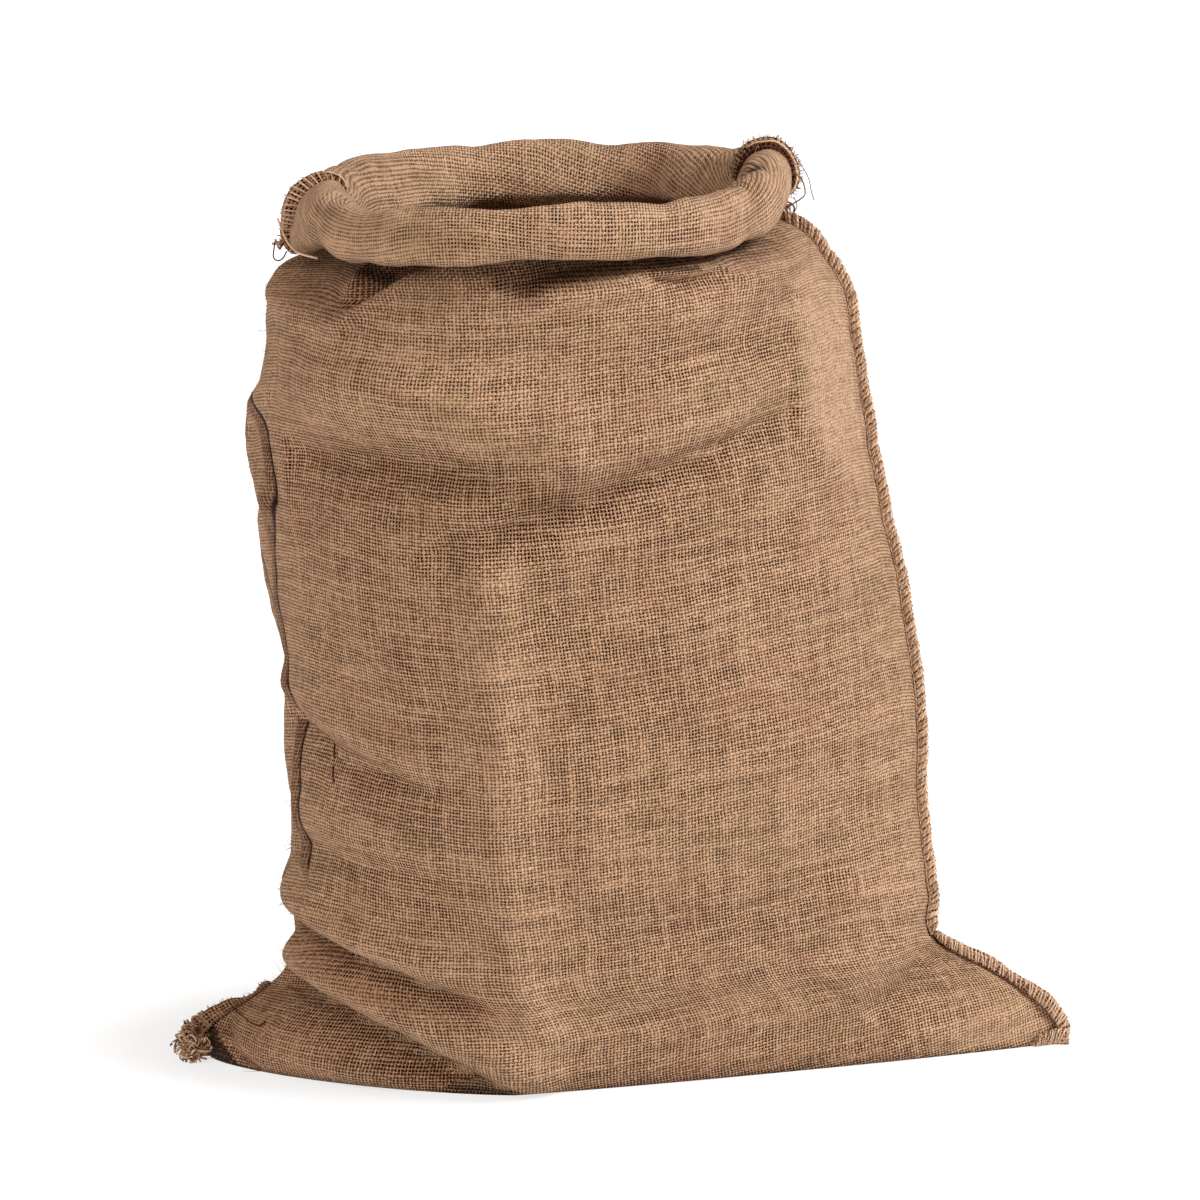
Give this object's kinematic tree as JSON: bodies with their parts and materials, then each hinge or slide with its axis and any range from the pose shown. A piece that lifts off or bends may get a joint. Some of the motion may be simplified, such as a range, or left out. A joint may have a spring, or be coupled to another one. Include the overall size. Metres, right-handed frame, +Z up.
{
  "type": "hessian sack",
  "caption": "Open hessian sack standing filled out, with a mouth rolled out to a puffy cuff, overcast side seams and pinched bottom corners.",
  "frame": {"origin": "on the ground under the middle of the sack's bounding box", "axes": "+Z up out of the mouth, -Y the front, +X towards the long overcast side seam"},
  "size_m": [0.6079, 0.3639, 0.6161],
  "materials": {
    "jute_cloth": "loose plain weave of natural jute yarn, matt and slightly hairy",
    "jute_twine": "overcast jute twine over the cut edges, matt, with frayed ends"
  },
  "bodies": {
    "root": {"sack_cloth": "jute_cloth", "side_seam_right": "jute_twine", "ear_seam_right": "jute_twine", "foot_seam_right": "jute_twine", "ear_seam_left": "jute_twine", "cuff_seam_right": "jute_twine", "cuff_seam_left": "jute_twine"}
  },
  "joints": []
}
